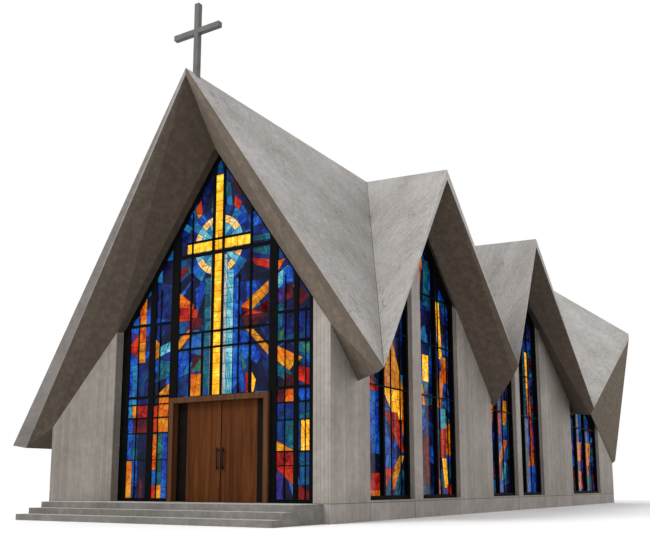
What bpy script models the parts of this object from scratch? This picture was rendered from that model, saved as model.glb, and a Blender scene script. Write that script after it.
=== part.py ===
"""Concrete church with a folded roof, a stained glass front and a pair of timber doors.

Metres, Z up, ground at Z = 0. X runs along the front, +X to the right, and the front faces -Y.
The main ridge and the gold cross stand on X = 0. The front glazing stands on Y = 0.
"""

import bmesh
import bpy
from mathutils import Vector

GAP = 0.0003  # left between two pieces that touch
LAP = 0.0002  # how far the shapes that trim the walls lap one another
TRIM_DROP = 0.001  # space left under the roof
CLEARANCE = 0.006  # round the swinging door leaves

# Base, landing and steps
FLOOR_TOP = 0.51
RISER = 0.17
LANDING_X = (-5.19, 3.85)
LANDING_FRONT = -1.70
TREAD = 0.45

# Outer faces of the walls
WALL_LEFT = -6.50
WALL_RIGHT = 4.08
WALL_FRONT = -0.29
WALL_REAR = 31.10
WALL_THICK = 0.35
WALL_INTO_ROOF = 0.35  # how far a wall is drawn past the soffit before the roof trims it

# Roof: where the ridge points stand, and how thick the concrete is at them
RIDGE_FRONT = Vector((0.0, -1.71, 13.05))
RIDGE_FOLDS = (Vector((0.0, 9.36, 13.05)), Vector((0.0, 21.0, 13.25)), Vector((0.0, 27.5, 13.5)))
RIDGE_REAR = Vector((0.0, 31.9, 13.5))
RIDGE_DEPTH = 1.95
FRONT_EDGE_DROP = 0.22
SIDE_EDGE_DROP = 0.33
TIP_SHARE = 0.2
TIP_DROPS = (0.05, 0.05, 0.28, 0.05)  # how much deeper the slab is under each tip, front first
SOFFIT_FRONT_TOP = Vector((0.0, WALL_FRONT, 11.08))
SOFFIT_REAR_TOP = Vector((0.0, WALL_REAR, 11.40))

# Each side of the roof: low tips and high points of the folds at the outer edge, then the same
# places where the soffit meets the wall, low and high. Front first.
RIGHT_TIPS = (
    Vector((5.75, -0.44, 3.94)),
    Vector((5.60, 10.53, 5.29)),
    Vector((5.60, 21.32, 4.58)),
    Vector((4.22, 31.30, 2.42)),
)
RIGHT_PEAKS = (Vector((5.55, 4.43, 10.83)), Vector((5.55, 13.5, 10.86)), Vector((5.4, 31.14, 9.65)))
RIGHT_WALL_LOW = ((1.20, 3.86), (11.98, 3.97), (23.60, 4.53), (31.10, 2.22))
RIGHT_WALL_HIGH = ((5.40, 9.95), (15.3, 9.60), (26.0, 5.2))
RIGHT_FRONT_LINE = (Vector((WALL_RIGHT, WALL_FRONT, 5.26)),)

LEFT_TIPS = (
    Vector((-7.90, -0.69, 2.28)),
    Vector((-7.90, 10.53, 3.30)),
    Vector((-7.90, 21.32, 3.10)),
    Vector((-6.66, 31.30, 2.10)),
)
LEFT_PEAKS = (Vector((-7.90, 4.43, 10.3)), Vector((-7.90, 13.5, 10.4)), Vector((-7.80, 31.14, 9.1)))
LEFT_WALL_LOW = ((0.80, 2.15), (11.60, 2.45), (21.90, 2.70), (31.10, 1.90))
LEFT_WALL_HIGH = ((5.10, 9.1), (15.1, 8.8), (26.4, 4.9))
LEFT_FRONT_LINE = (Vector((-3.77, WALL_FRONT, 5.75)), Vector((WALL_LEFT, WALL_FRONT, 2.85)))

# Front glazing: openings and bars, as X ranges on the glazing plane, and each light's transoms
GLAZING_X = (-3.77, 3.54)
FRONT_BAR_DEPTH = 0.07
FRONT_GLASS_THICK = 0.03
FRONT_SIDE_BAR = 0.30
FRONT_SILL_BAR = 0.10
FRONT_HEAD_BAR = 0.24
FRONT_LEAST_EDGE = 0.04  # shortest side that a pane may have
FRONT_MULLIONS = ((-2.65, -2.42), (-1.80, -1.50), (1.88, 2.15), (2.72, 2.86))
THICK_MULLIONS = (1, 2)  # these two stop on the door portal
FRONT_TRANSOMS = ((3.62, 5.88), (3.62, 5.88), (7.85,), (3.62, 4.92, 5.77), (3.62, 4.92, 5.77))
FRONT_TRANSOM_HIGH = 0.08
GLASS_SPLITS = (-1.65, 2.02)

# Door portal and leaves
DOOR_X = 0.13
PORTAL_HALF = 1.81
PORTAL_BAR = 0.16
PORTAL_TOP = 3.57
PORTAL_FRONT = -0.10
PORTAL_BACK = 0.25
LEAF_FRONT = 0.14
LEAF_THICK = 0.06
LEAF_HALF = 1.285
LEAF_LIFT = 0.008
HANDLE_Z = (1.42, 2.07)
HANDLE_IN = 0.10
HANDLE_BAR = 0.036
HANDLE_REACH = 0.09

# Windows of the flanks: Y ranges, and how far the frame stands back from the wall face
FLANK_WINDOWS = ((1.88, 4.76), (5.38, 8.44), (11.67, 14.55), (15.12, 18.05), (22.73, 28.09))
FLANK_MULLIONS = ((3.06,), (6.92,), (12.75,), (16.06,), (24.25, 25.90))
FLANK_RECESS = 0.15
FLANK_BAR_WIDE = 0.12
FLANK_MULLION_WIDE = 0.10
FLANK_GLASS_THICK = 0.03
SILL_HIGH = 0.06

# Cross on the ridge
CROSS_Y = -1.22
CROSS_BAR = 0.16
CROSS_TOP = 15.32
CROSS_ARM_Z = 14.42
CROSS_ARM_HALF = 0.86
CROSS_STEP = 0.002  # the arm is this much thinner on each face


def clear_scene():
    for obj in list(bpy.data.objects):
        bpy.data.objects.remove(obj, do_unlink=True)


def material(name, colour, roughness, metallic=0.0):
    made = bpy.data.materials.new(name)
    made.use_nodes = True
    shader = made.node_tree.nodes["Principled BSDF"]
    shader.inputs["Base Color"].default_value = (*colour, 1.0)
    shader.inputs["Roughness"].default_value = roughness
    shader.inputs["Metallic"].default_value = metallic
    made.diffuse_color = (*colour, 1.0)
    return made


def object_from(name, bm, skin):
    bmesh.ops.recalc_face_normals(bm, faces=bm.faces)
    mesh = bpy.data.meshes.new(name)
    bm.to_mesh(mesh)
    bm.free()
    mesh.materials.append(skin)
    obj = bpy.data.objects.new(name, mesh)
    bpy.context.collection.objects.link(obj)
    return obj


def hull(points):
    """The convex solid round these points."""
    bm = bmesh.new()
    for point in points:
        bm.verts.new(point)
    bmesh.ops.remove_doubles(bm, verts=bm.verts, dist=1e-6)
    made = bmesh.ops.convex_hull(bm, input=bm.verts)
    inner = [item for item in made["geom_interior"] if isinstance(item, bmesh.types.BMVert)]
    bmesh.ops.delete(bm, geom=inner, context="VERTS")
    return bm


def box_points(x, y, z):
    return [Vector((a, b, c)) for a in x for b in y for c in z]


def box(name, x, y, z, skin):
    return object_from(name, hull(box_points(x, y, z)), skin)


def prism(outline, axis, span):
    """A straight extrusion of a flat outline, given as pairs, along the axis 'x' or 'y'."""
    bm = bmesh.new()
    ends = []
    for along in span:
        if axis == "x":
            ring = [bm.verts.new((along, a, b)) for a, b in outline]
        else:
            ring = [bm.verts.new((a, along, b)) for a, b in outline]
        ends.append(ring)
    first, second = ends
    bm.faces.new(first)
    bm.faces.new(list(reversed(second)))
    count = len(outline)
    for i in range(count):
        j = (i + 1) % count
        bm.faces.new((first[j], first[i], second[i], second[j]))
    return bm


def apply_boolean(obj, bm, operation, solver="EXACT"):
    """Joins the solid bm to obj, or cuts it away, and keeps the result as obj's mesh."""
    tool = object_from("tool", bm, obj.data.materials[0])
    step = obj.modifiers.new("step", "BOOLEAN")
    step.operation = operation
    step.solver = solver
    step.object = tool
    graph = bpy.context.evaluated_depsgraph_get()
    made = bpy.data.meshes.new_from_object(obj.evaluated_get(graph))
    obj.modifiers.clear()
    old = obj.data
    obj.data = made
    bpy.data.meshes.remove(old)
    bpy.data.objects.remove(tool, do_unlink=True)


def join_boxes(name, boxes, skin):
    obj = box(name, *boxes[0], skin)
    for one in boxes[1:]:
        apply_boolean(obj, hull(box_points(*one)), "UNION")
    return obj


class RoofSide:
    """One side of the roof. Its pieces meet along the same corners, so they fit like cast bays."""

    def __init__(self, wall_x, tips, peaks, wall_low, wall_high, front_line):
        self.sign = 1.0 if wall_x > 0 else -1.0
        self.tips = tips
        self.peaks = peaks
        self.low = [Vector((wall_x, *place)) for place in wall_low]
        self.high = [Vector((wall_x, *place)) for place in wall_high]
        self.front_line = list(front_line)

    def ridge_pair(self, point, depth):
        return point, point - Vector((0, 0, depth))

    def valley(self, ridge, number):
        """The corners where two pieces meet: ridge, tip, under the tip, at the wall, under the ridge."""
        tip, wall = self.tips[number], self.low[number]
        under_tip = tip.lerp(wall, TIP_SHARE) - Vector((0, 0, TIP_DROPS[number]))
        top, under_ridge = self.ridge_pair(ridge, RIDGE_DEPTH)
        return [top, tip, under_tip, wall, under_ridge]

    def end_faces(self, ridge_end, soffit_top, valley, line):
        """The free end of the roof: fascia, soffit, lining and the face on the middle plane."""
        ridge, tip, under_tip, wall, under_ridge = valley
        edge, edge_low = self.ridge_pair(ridge_end, FRONT_EDGE_DROP)
        along_wall = [soffit_top, *(line or [wall])]
        faces = [(edge, ridge, tip), (edge, tip, under_tip), (edge, under_tip, edge_low)]
        for first, second in zip(along_wall, along_wall[1:]):
            faces += [(edge_low, first, second), (under_ridge, first, second)]
        last = along_wall[-1]
        faces.append((edge_low, last, under_tip))
        if last != wall:
            faces += [(under_tip, last, wall), (under_ridge, last, wall)]
        faces.append((edge, edge_low, soffit_top, under_ridge, ridge))
        return faces

    def valley_faces(self, valley):
        ridge, tip, under_tip, wall, under_ridge = valley
        return [(ridge, tip, under_tip), (ridge, under_tip, wall), (ridge, wall, under_ridge)]

    def front_plate(self, shy):
        valley = moved(self.valley(RIDGE_FOLDS[0], 0), -shy)
        faces = self.end_faces(RIDGE_FRONT, SOFFIT_FRONT_TOP, valley, self.front_line)
        return self.solid(faces + self.valley_faces(valley), shy)

    def fold(self, number, shy):
        """Up to the peak, down from it, and the flat plate behind, cast as one."""
        ridge = RIDGE_FOLDS[number]
        peak, high = self.peaks[number], self.high[number]
        peak_low = peak - Vector((0, 0, SIDE_EDGE_DROP))
        front = moved(self.valley(ridge, number), shy)
        rear = self.valley(ridge, number + 1)
        last = number + 1 == len(RIDGE_FOLDS)
        if not last:
            beyond = moved(self.valley(RIDGE_FOLDS[number + 1], number + 1), -shy)
            rear = [rear[0]] + beyond[1:4] + [rear[4]]
        rear[0], rear[4] = front[0], front[4]
        ridge, tip, under_tip, wall, under_ridge = front
        _, next_tip, next_under, next_wall, _ = rear
        faces = [(ridge, peak, tip), (ridge, next_tip, peak)]
        faces += [(tip, peak, peak_low), (tip, peak_low, under_tip)]
        faces += [(next_tip, peak_low, peak), (next_tip, next_under, peak_low)]
        faces += [(under_tip, peak_low, wall), (peak_low, high, wall)]
        faces += [(peak_low, next_under, high), (next_under, next_wall, high)]
        faces += [(wall, high, under_ridge), (high, next_wall, under_ridge)]
        faces += self.valley_faces(front)
        if last:
            faces += self.end_faces(RIDGE_REAR, SOFFIT_REAR_TOP, rear, [])
        else:
            far_ridge, far_under = beyond[0], beyond[4]
            faces += [(ridge, far_ridge, next_tip), (next_wall, under_ridge, far_under)]
            faces.append((ridge, far_ridge, far_under, under_ridge))
            faces += self.valley_faces(beyond)
        return self.solid(faces, shy)

    def solid(self, faces, shy):
        """One closed solid, kept off the middle plane by shy."""
        bm = bmesh.new()
        for face in faces:
            bm.faces.new([bm.verts.new(corner) for corner in face])
        bmesh.ops.remove_doubles(bm, verts=bm.verts, dist=1e-6)
        for vert in bm.verts:
            if abs(vert.co.x) < 1e-6:
                vert.co.x = self.sign * shy
        bmesh.ops.triangulate(bm, faces=bm.faces[:])
        return bm

    def cutters(self):
        """Every piece again, a gap lower and lapping its neighbours, to trim what is below it."""
        pieces = [self.front_plate(-LAP)]
        pieces += [self.fold(number, -LAP) for number in range(len(RIDGE_FOLDS))]
        for bm in pieces:
            bmesh.ops.translate(bm, verts=bm.verts, vec=(0, 0, -TRIM_DROP))
            bmesh.ops.recalc_face_normals(bm, faces=bm.faces)
        return pieces


def moved(points, along_y):
    return [point + Vector((0, along_y, 0)) for point in points]


def trim_under_roof(obj, cutters):
    """Cuts obj off where it would run into the roof."""
    for cutter in cutters:
        if boxes_meet(obj.data.vertices, cutter.verts):
            apply_boolean(obj, cutter.copy(), "DIFFERENCE", "MANIFOLD")


def boxes_meet(first, second):
    for axis in range(3):
        one = [vert.co[axis] for vert in first]
        other = [vert.co[axis] for vert in second]
        if max(one) < min(other) or min(one) > max(other):
            return False
    return True


def zigzag(low, high):
    """The line where a flank wall meets the soffit, from front to rear."""
    line = []
    for i, place in enumerate(low):
        line.append(place)
        if i < len(high):
            line.append(high[i])
    return line


def height_on(line, along):
    for (a, za), (b, zb) in zip(line, line[1:]):
        if a <= along <= b:
            return za + (zb - za) * (along - a) / (b - a)
    return line[0][1] if along < line[0][0] else line[-1][1]


def outline_under(line, span, floor, extra):
    """An outline from floor level up to the zigzag line plus extra, over this span."""
    start, end = span
    tops = [start] + [place for place, _ in line if start < place < end] + [end]
    upper = [(place, height_on(line, place) + extra) for place in tops]
    return [(start, floor), (end, floor)] + list(reversed(upper))


def span_above(line, span, level):
    """The part of the span over which the line stays above this level."""
    start, end = span
    for (a, za), (b, zb) in zip(line, line[1:]):
        if min(za, zb) < level < max(za, zb):
            crossing = a + (b - a) * (level - za) / (zb - za)
            if zb > za:
                start = max(start, crossing)
            else:
                end = min(end, crossing)
    return start, end


clear_scene()

CONCRETE = material("wall_concrete", (0.36, 0.34, 0.32), 0.9)
ROOF = material("roof_concrete", (0.42, 0.41, 0.40), 0.9)
BASE = material("base_concrete", (0.33, 0.31, 0.30), 0.9)
FRAME = material("black_steel", (0.012, 0.012, 0.014), 0.45, 0.6)
GLASS = material("coloured_glass", (0.03, 0.10, 0.45), 0.15)
WOOD = material("door_timber", (0.14, 0.055, 0.022), 0.5)
PANEL = material("dark_panel", (0.02, 0.02, 0.022), 0.4)
HANDLE = material("handle_steel", (0.02, 0.02, 0.02), 0.4, 0.9)
CROSS = material("cross_steel", (0.15, 0.15, 0.15), 0.6, 0.5)

right_line = [(WALL_FRONT, RIGHT_FRONT_LINE[0].z)] + zigzag(RIGHT_WALL_LOW, RIGHT_WALL_HIGH)
left_line = [(WALL_FRONT, LEFT_FRONT_LINE[1].z)] + zigzag(LEFT_WALL_LOW, LEFT_WALL_HIGH)
sides = {
    "right": RoofSide(
        WALL_RIGHT, RIGHT_TIPS, RIGHT_PEAKS, RIGHT_WALL_LOW, RIGHT_WALL_HIGH, RIGHT_FRONT_LINE
    ),
    "left": RoofSide(
        WALL_LEFT, LEFT_TIPS, LEFT_PEAKS, LEFT_WALL_LOW, LEFT_WALL_HIGH, LEFT_FRONT_LINE
    ),
}
flanks = {"right": (WALL_RIGHT, -1.0, right_line), "left": (WALL_LEFT, 1.0, left_line)}

# Roof
all_cutters = []
for word, side in sides.items():
    object_from(f"roof_front_plate_{word}", side.front_plate(GAP / 2), ROOF)
    for number, place in enumerate(("front", "middle", "rear")):
        object_from(f"roof_fold_{place}_{word}", side.fold(number, GAP / 2), ROOF)
    all_cutters.extend(side.cutters())

# Base, landing and steps
inner_top = FLOOR_TOP + GAP
box("base_and_floor", (WALL_LEFT, WALL_RIGHT), (WALL_FRONT, WALL_REAR), (0, FLOOR_TOP), BASE)
box("entrance_landing", LANDING_X, (LANDING_FRONT, WALL_FRONT - GAP), (0, FLOOR_TOP), BASE)
step_back = LANDING_FRONT - GAP
box("upper_step", LANDING_X, (LANDING_FRONT - TREAD, step_back), (0, 2 * RISER), BASE)
step_back = LANDING_FRONT - TREAD - GAP
box("lower_step", LANDING_X, (LANDING_FRONT - 2 * TREAD, step_back), (0, RISER), BASE)

# Front and rear walls
wall_inner = WALL_FRONT + WALL_THICK
front_line = [
    (WALL_LEFT, LEFT_FRONT_LINE[1].z),
    (LEFT_FRONT_LINE[0].x, LEFT_FRONT_LINE[0].z),
    (0.0, SOFFIT_FRONT_TOP.z),
    (WALL_RIGHT, RIGHT_FRONT_LINE[0].z),
]
rear_line = [
    (WALL_LEFT, LEFT_WALL_LOW[-1][1]),
    (0.0, SOFFIT_REAR_TOP.z),
    (WALL_RIGHT, RIGHT_WALL_LOW[-1][1]),
]
walls = {
    "front_wall_left": (front_line, (WALL_LEFT, GLAZING_X[0]), (WALL_FRONT, wall_inner)),
    "front_wall_right": (front_line, (GLAZING_X[1], WALL_RIGHT), (WALL_FRONT, wall_inner)),
    "rear_wall": (rear_line, (WALL_LEFT, WALL_RIGHT), (WALL_REAR - WALL_THICK, WALL_REAR)),
}
for name, (line, span, depth) in walls.items():
    outline = outline_under(line, span, inner_top, WALL_INTO_ROOF)
    wall = object_from(name, prism(outline, "y", depth), CONCRETE)
    trim_under_roof(wall, all_cutters)

# Front frame: jambs, sill, sloping head bars, mullions and transoms in one welded piece
frame_y = (0.0, FRONT_BAR_DEPTH)
glaze_left, glaze_right = GLAZING_X[0] + GAP, GLAZING_X[1] - GAP
head_line = [(x, z - 0.02) for x, z in front_line]
outer_outline = outline_under(head_line, (glaze_left, glaze_right), inner_top, WALL_INTO_ROOF)
frame = object_from("front_window_frame", prism(outer_outline, "y", frame_y), FRAME)
uprights = [glaze_left + FRONT_SIDE_BAR]
for bar in FRONT_MULLIONS:
    uprights.extend(bar)
uprights.append(glaze_right - FRONT_SIDE_BAR)
cut_y = (-0.1, FRONT_BAR_DEPTH + 0.1)
pane_line = [(x, z - FRONT_HEAD_BAR) for x, z in head_line]
for left, right, transoms in zip(uprights[::2], uprights[1::2], FRONT_TRANSOMS):
    levels = [inner_top + FRONT_SILL_BAR]
    for bar in transoms:
        levels.extend((bar, bar + FRONT_TRANSOM_HIGH))
    levels.append(SOFFIT_FRONT_TOP.z)
    for low, high in zip(levels[::2], levels[1::2]):
        start, end = span_above(pane_line, (left, right), low + FRONT_LEAST_EDGE)
        if end - start < FRONT_LEAST_EDGE:
            continue
        pane = outline_under(pane_line, (start, end), low, 0.0)
        pane = [(x, min(z, high)) for x, z in pane]
        apply_boolean(frame, prism(pane, "y", cut_y), "DIFFERENCE")
portal_x = (DOOR_X - PORTAL_HALF, DOOR_X + PORTAL_HALF)
door_hole = ((portal_x[0] - GAP, portal_x[1] + GAP), cut_y, (0, PORTAL_TOP + GAP))
apply_boolean(frame, hull(box_points(*door_hole)), "DIFFERENCE")
trim_under_roof(frame, all_cutters)

# Front glass: three sheets behind the frame
glass_y = (FRONT_BAR_DEPTH + GAP, FRONT_BAR_DEPTH + GAP + FRONT_GLASS_THICK)
sheets = {
    "front_glass_left": (glaze_left, GLASS_SPLITS[0]),
    "front_glass_centre": (GLASS_SPLITS[0] + GAP, GLASS_SPLITS[1]),
    "front_glass_right": (GLASS_SPLITS[1] + GAP, glaze_right),
}
for name, span in sheets.items():
    outline = outline_under(front_line, span, inner_top, WALL_INTO_ROOF)
    sheet = object_from(name, prism(outline, "y", glass_y), GLASS)
    apply_boolean(sheet, hull(box_points(*door_hole)), "DIFFERENCE")
    trim_under_roof(sheet, all_cutters)

# Door portal, fixed side panels, leaves and handles
portal_inner = (portal_x[0] + PORTAL_BAR, portal_x[1] - PORTAL_BAR)
portal_y = (PORTAL_FRONT, PORTAL_BACK)
portal = box("door_portal", portal_x, portal_y, (inner_top, PORTAL_TOP), WOOD)
passage = box_points(portal_inner, (-1, 1), (0, PORTAL_TOP - PORTAL_BAR))
apply_boolean(portal, hull(passage), "DIFFERENCE")
leaf_y = (LEAF_FRONT, LEAF_FRONT + LEAF_THICK)
leaf_top = PORTAL_TOP - PORTAL_BAR - CLEARANCE
leaf_x = (DOOR_X - LEAF_HALF, DOOR_X + LEAF_HALF)
panel_z = (inner_top, PORTAL_TOP - PORTAL_BAR - GAP)
box("door_side_panel_left", (portal_inner[0] + GAP, leaf_x[0] - CLEARANCE), leaf_y, panel_z, PANEL)
box("door_side_panel_right", (leaf_x[1] + CLEARANCE, portal_inner[1] - GAP), leaf_y, panel_z, PANEL)
meeting = CLEARANCE / 2
leaf_z = (FLOOR_TOP + LEAF_LIFT, leaf_top)
for word, hinge_x, sign in (("left", leaf_x[0], 1.0), ("right", leaf_x[1], -1.0)):
    free_x = DOOR_X - sign * meeting
    leaf = box(f"door_leaf_{word}", (hinge_x, free_x), leaf_y, leaf_z, WOOD)
    centre = free_x - sign * HANDLE_IN
    bar_x = (centre - HANDLE_BAR / 2, centre + HANDLE_BAR / 2)
    bar_front = LEAF_FRONT - HANDLE_REACH
    grip = (bar_x, (bar_front, bar_front + HANDLE_BAR), HANDLE_Z)
    mounts = [
        (bar_x, (bar_front + HANDLE_BAR / 2, LEAF_FRONT - GAP), (z, z + HANDLE_BAR))
        for z in (HANDLE_Z[0] + 0.06, HANDLE_Z[1] - 0.06 - HANDLE_BAR)
    ]
    handle = join_boxes(f"door_handle_{word}", [grip] + mounts, HANDLE)
    axis = Vector((hinge_x, LEAF_FRONT, 0))
    for moving in (leaf, handle):
        for vert in moving.data.vertices:
            vert.co -= axis
        moving.location = axis

# Flank walls with their windows cut through, the frames, and one sheet of glass a flank
for word, (face, inward, line) in flanks.items():
    wall_x = sorted((face, face + inward * WALL_THICK))
    span = (wall_inner + GAP, WALL_REAR - WALL_THICK - GAP)
    outline = outline_under(line, span, inner_top, WALL_INTO_ROOF)
    wall = object_from(f"flank_wall_{word}", prism(outline, "x", wall_x), CONCRETE)
    sill = inner_top + SILL_HIGH
    through = (wall_x[0] - 0.1, wall_x[1] + 0.1)
    for opening in FLANK_WINDOWS:
        hole = box_points(through, opening, (sill, 14))
        apply_boolean(wall, hull(hole), "DIFFERENCE")
    trim_under_roof(wall, all_cutters)
    frame_x = sorted((face + inward * FLANK_RECESS, face + inward * (WALL_THICK - GAP)))
    cut_x = (frame_x[0] - 0.1, frame_x[1] + 0.1)
    for number, (opening, mullions) in enumerate(zip(FLANK_WINDOWS, FLANK_MULLIONS), start=1):
        edge = (opening[0] + GAP, opening[1] - GAP)
        outline = outline_under(line, edge, sill + GAP, WALL_INTO_ROOF)
        flank_frame = object_from(f"window_frame_{word}_{number}", prism(outline, "x", frame_x), FRAME)
        stops = [edge[0] + FLANK_BAR_WIDE]
        for middle in mullions:
            stops.extend((middle - FLANK_MULLION_WIDE / 2, middle + FLANK_MULLION_WIDE / 2))
        stops.append(edge[1] - FLANK_BAR_WIDE)
        lower_line = [(y, z - 0.10) for y, z in line]
        for start, end in zip(stops[::2], stops[1::2]):
            pane = outline_under(lower_line, (start, end), sill + FLANK_BAR_WIDE, 0.0)
            apply_boolean(flank_frame, prism(pane, "x", cut_x), "DIFFERENCE")
        trim_under_roof(flank_frame, all_cutters)
    back = face + inward * (WALL_THICK + GAP)
    glass_x = sorted((back, back + inward * FLANK_GLASS_THICK))
    outline = outline_under(line, span, inner_top, WALL_INTO_ROOF)
    sheet = object_from(f"flank_glass_{word}", prism(outline, "x", glass_x), GLASS)
    trim_under_roof(sheet, all_cutters)

# Cross on the ridge
half = CROSS_BAR / 2
post = ((-half, half), (CROSS_Y - half, CROSS_Y + half), (12.86, CROSS_TOP))
arm_y = (post[1][0] + CROSS_STEP, post[1][1] - CROSS_STEP)
arm = ((-CROSS_ARM_HALF, CROSS_ARM_HALF), arm_y, (CROSS_ARM_Z - half, CROSS_ARM_Z + half))
cross = join_boxes("ridge_cross", [post, arm], CROSS)
for side in sides.values():
    saddle = side.front_plate(-LAP)
    bmesh.ops.translate(saddle, verts=saddle.verts, vec=(0, 0, TRIM_DROP))
    apply_boolean(cross, saddle, "DIFFERENCE", "MANIFOLD")
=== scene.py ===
"""Looks of the folded concrete church: weathered concrete, leaded glass, steel bars, oiled timber.

World metres, Z up. The front faces -Y and the front glazing stands on Y = 0.
"""

import math
import random

import bpy
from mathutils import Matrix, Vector


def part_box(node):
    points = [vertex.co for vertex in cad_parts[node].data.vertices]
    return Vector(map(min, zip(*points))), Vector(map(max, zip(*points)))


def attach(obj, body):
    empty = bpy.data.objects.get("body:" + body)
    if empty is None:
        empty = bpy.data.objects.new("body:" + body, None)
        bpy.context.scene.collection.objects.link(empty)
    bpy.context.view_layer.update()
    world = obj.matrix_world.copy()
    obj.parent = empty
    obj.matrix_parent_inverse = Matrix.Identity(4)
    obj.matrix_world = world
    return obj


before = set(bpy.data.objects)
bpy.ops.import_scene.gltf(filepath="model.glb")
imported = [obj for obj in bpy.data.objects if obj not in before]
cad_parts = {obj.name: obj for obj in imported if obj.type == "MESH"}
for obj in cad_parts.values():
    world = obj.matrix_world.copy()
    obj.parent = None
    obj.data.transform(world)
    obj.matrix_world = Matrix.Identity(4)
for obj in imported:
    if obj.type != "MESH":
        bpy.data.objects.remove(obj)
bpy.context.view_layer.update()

# Camera: stands in front of the building, well to the right of the doors
CAMERA_PLACE = (15.4726, -19.2408, 1.0032)
CAMERA_TURN = 31.385
CAMERA_TILT_UP = 9.576
CAMERA_LENS = 46.714
CAMERA_SENSOR = 36.0
CAMERA_SHIFT = 0.11
CAMERA_REACH = 2000
SUN_STRENGTH = 1.6
SUN_WIDTH = 25
SUN_TURN = (48, 0, -22)
GROUND_REACH = 300
GROUND_Z = -0.002

# Leaded glass
CAME_HALF = 0.006  # half the face of a lead came
CAME_PROUD = 0.005
CAME_EDGE = 0.4 * CAME_PROUD  # where the came's slope ends and its side begins
PANE_THICK = 0.004
STRIP_DEPTH = CAME_PROUD + 0.001  # the flat lead behind a sliver of glass
PANE_AREA = 0.13  # the largest shard left whole, in square metres
SMALL_AREAS = {"gold": 0.10, "cream": 0.04, "pearl": 0.05, "cyan": 0.06}
SHARDS = {"deep": 8, "navy": 4, "blue": 5, "teal": 3, "sky": 1, "purple": 1, "wine": 1}
SHARD_TILT = 0.5  # how far a cut may lean, in radians
SHARD_SHIFT = 0.15  # and how far off the middle it may run, as a share of the cell
RADIAL_CUTS = 0.45  # the share of cuts that run towards the halo
SHORTEST_SIDE = 0.002
LEAST_OVERLAP = 0.0002
LEAST_HALF = 0.0004
LEAST_CELL = 0.0006
LEAST_PANE = 0.0002
LEAST_NARROW_PANE = 0.0003
FRONT_SETBACK = 0.030  # from the face of the front frame to the glass
FLANK_SETBACK = 0.055  # from the inner face of a flank frame to the glass
REGION_INSET = 0.04  # how far the glass runs in behind the frame, measured from its outer edge

# Front window, on the glazing plane: X and Z
FRONT_SEED = 7
FRONT_AREA = 0.34  # the first, coarse break-up
MULLIONS_X = (-2.53, -1.65, 2.01, 2.79)
TRANSOMS_Z = (3.62, 5.90, 7.90)
CROSS_X = -0.02
CROSS_HALF = 0.145
CROSS_Z = (3.60, 10.34)
CROSS_PANE = 0.31
ARM_Z = (7.99, 8.29)
ARM_X = (-1.24, 1.15)
ARM_PANE = 0.24
HALO = Vector((-0.03, 8.13))
HALO_RINGS = (0.70, 0.93, 1.24)
HALO_GLASS = (("cyan", "sky", "cyan"), ("cream", "cream", "cyan", "cream"), ("blue", "deep", "sky"))
HALO_RAYS = 24
STRIP_PANE = 0.45
FRAME_APEX = 10.85
FRAME_SLOPE = 1.42  # how far the sloping heads fall for each metre from the middle
FRONT_BAR_DEPTH = (0.002, 0.030)  # from the face of the front frame

# Flank lights
FLANK_SEED = 40
FLANK_AREA = 0.30
FLANK_LIGHTS = range(1, 6)
FLANK_LEVELS = (3.90, 5.65, 7.30)
FLANK_UPRIGHTS = (0.58, 0.80)  # shares of the light's width
FLANK_BAR_DEPTH = (0.004, 0.045)  # from the outer face of the frame
CROSS_BAR_HALF = 0.022
UPRIGHT_HALF = 0.012
UPRIGHT_ENDS = (0.05, 0.02)  # how far an upright stops short of the frame's foot and head
BAR_INSET = 0.03
BAR_STEP = 0.05  # how finely a cross bar is fitted under the sloping head
BAR_CLEAR = 0.05  # what the head leaves over a cross bar
FEWEST_STEPS = 4  # a shorter cross bar is left out

# Joints, painted shadow lines and door fittings
JOINT_WIDE = 0.014
DARK_LINE_PROUD = 0.003
DARK_LINE_BITE = 0.01  # how far a joint line runs into the concrete
# Painted shadow lines: dark strips where the walls stand on the plinth.
FOOT_SHADOW_LINE = (0.006, 0.010)  # below and above the plinth's top, under the flank and rear walls
FRONT_SHADOW_LINE = (0.001, 0.012)  # above the plinth's top, under the front walls
PLINTH_JOINTS = (1.84, 4.76, 8.33, 14.55, 18.05, 22.73, 28.09)
VALLEY_ROD = 0.016
EDGE_COVER = 0.004
SEAL_WIDE = 0.014
SEAL_PROUD = 0.0015
SEAL_LET_IN = 0.002
SWING_GAP = 0.006  # left under the leaves as they swing
FITTING_GAP = 0.01  # from the threshold to the leaves, and past the ends of the seals
THRESHOLD_INSET = 0.02
DOOR_INSET = 0.05  # how far the glass runs in behind the portal

# Patterns in the materials, in repeats to the metre. Each is one metre over the size it stands for.
BOARD = 0.12  # the width of a shutter board, in metres
BOARD_SEAM = 0.012  # the fin left between two boards, in metres
CLOUD = 0.55  # a pour's tone drifts over 1.8 m
MOTTLE = 5.0  # mottling 200 mm across
SAND = 60.0  # grains of 17 mm: much coarser than sand, so that they show
BLOW_HOLES = 26.0  # a hole in every 38 mm
PITTING = 9.0  # clusters of rain pits 110 mm across
CRACKS = 0.22  # hair cracks wander over 4.5 m
CRACK_BREAKS = 0.5  # and stop and start every 2 m
BOARD_GRAIN = (55.0, 55.0, 1.6)  # raised grain 18 mm wide and 600 mm long
DAMP = 1.4  # patches of damp 700 mm across
COAT_PATCH = 3.0  # weathered patches 330 mm across
COAT_PEEL = 160.0  # orange peel of 6 mm
FIBRE = (120.0, 120.0, 2.6)  # fibres 8 mm wide and 400 mm long, coarser than real, so that they show
TIMBER_BAND = (9.0, 9.0, 0.35)  # growth bands 110 mm wide and 2.9 m long
PORE = (420.0, 420.0, 14.0)  # pores 2.4 mm wide and 70 mm long
STREAK = 2.6  # streaks 380 mm long in a blown sheet
SEEDS = 24.0  # bubbles, drawn 40 mm across so that they show
DRIFT = 1.5  # the second colour drifts over 670 mm
DRIFT_STRETCH = (1.0, 1.3, 0.8)
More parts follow.
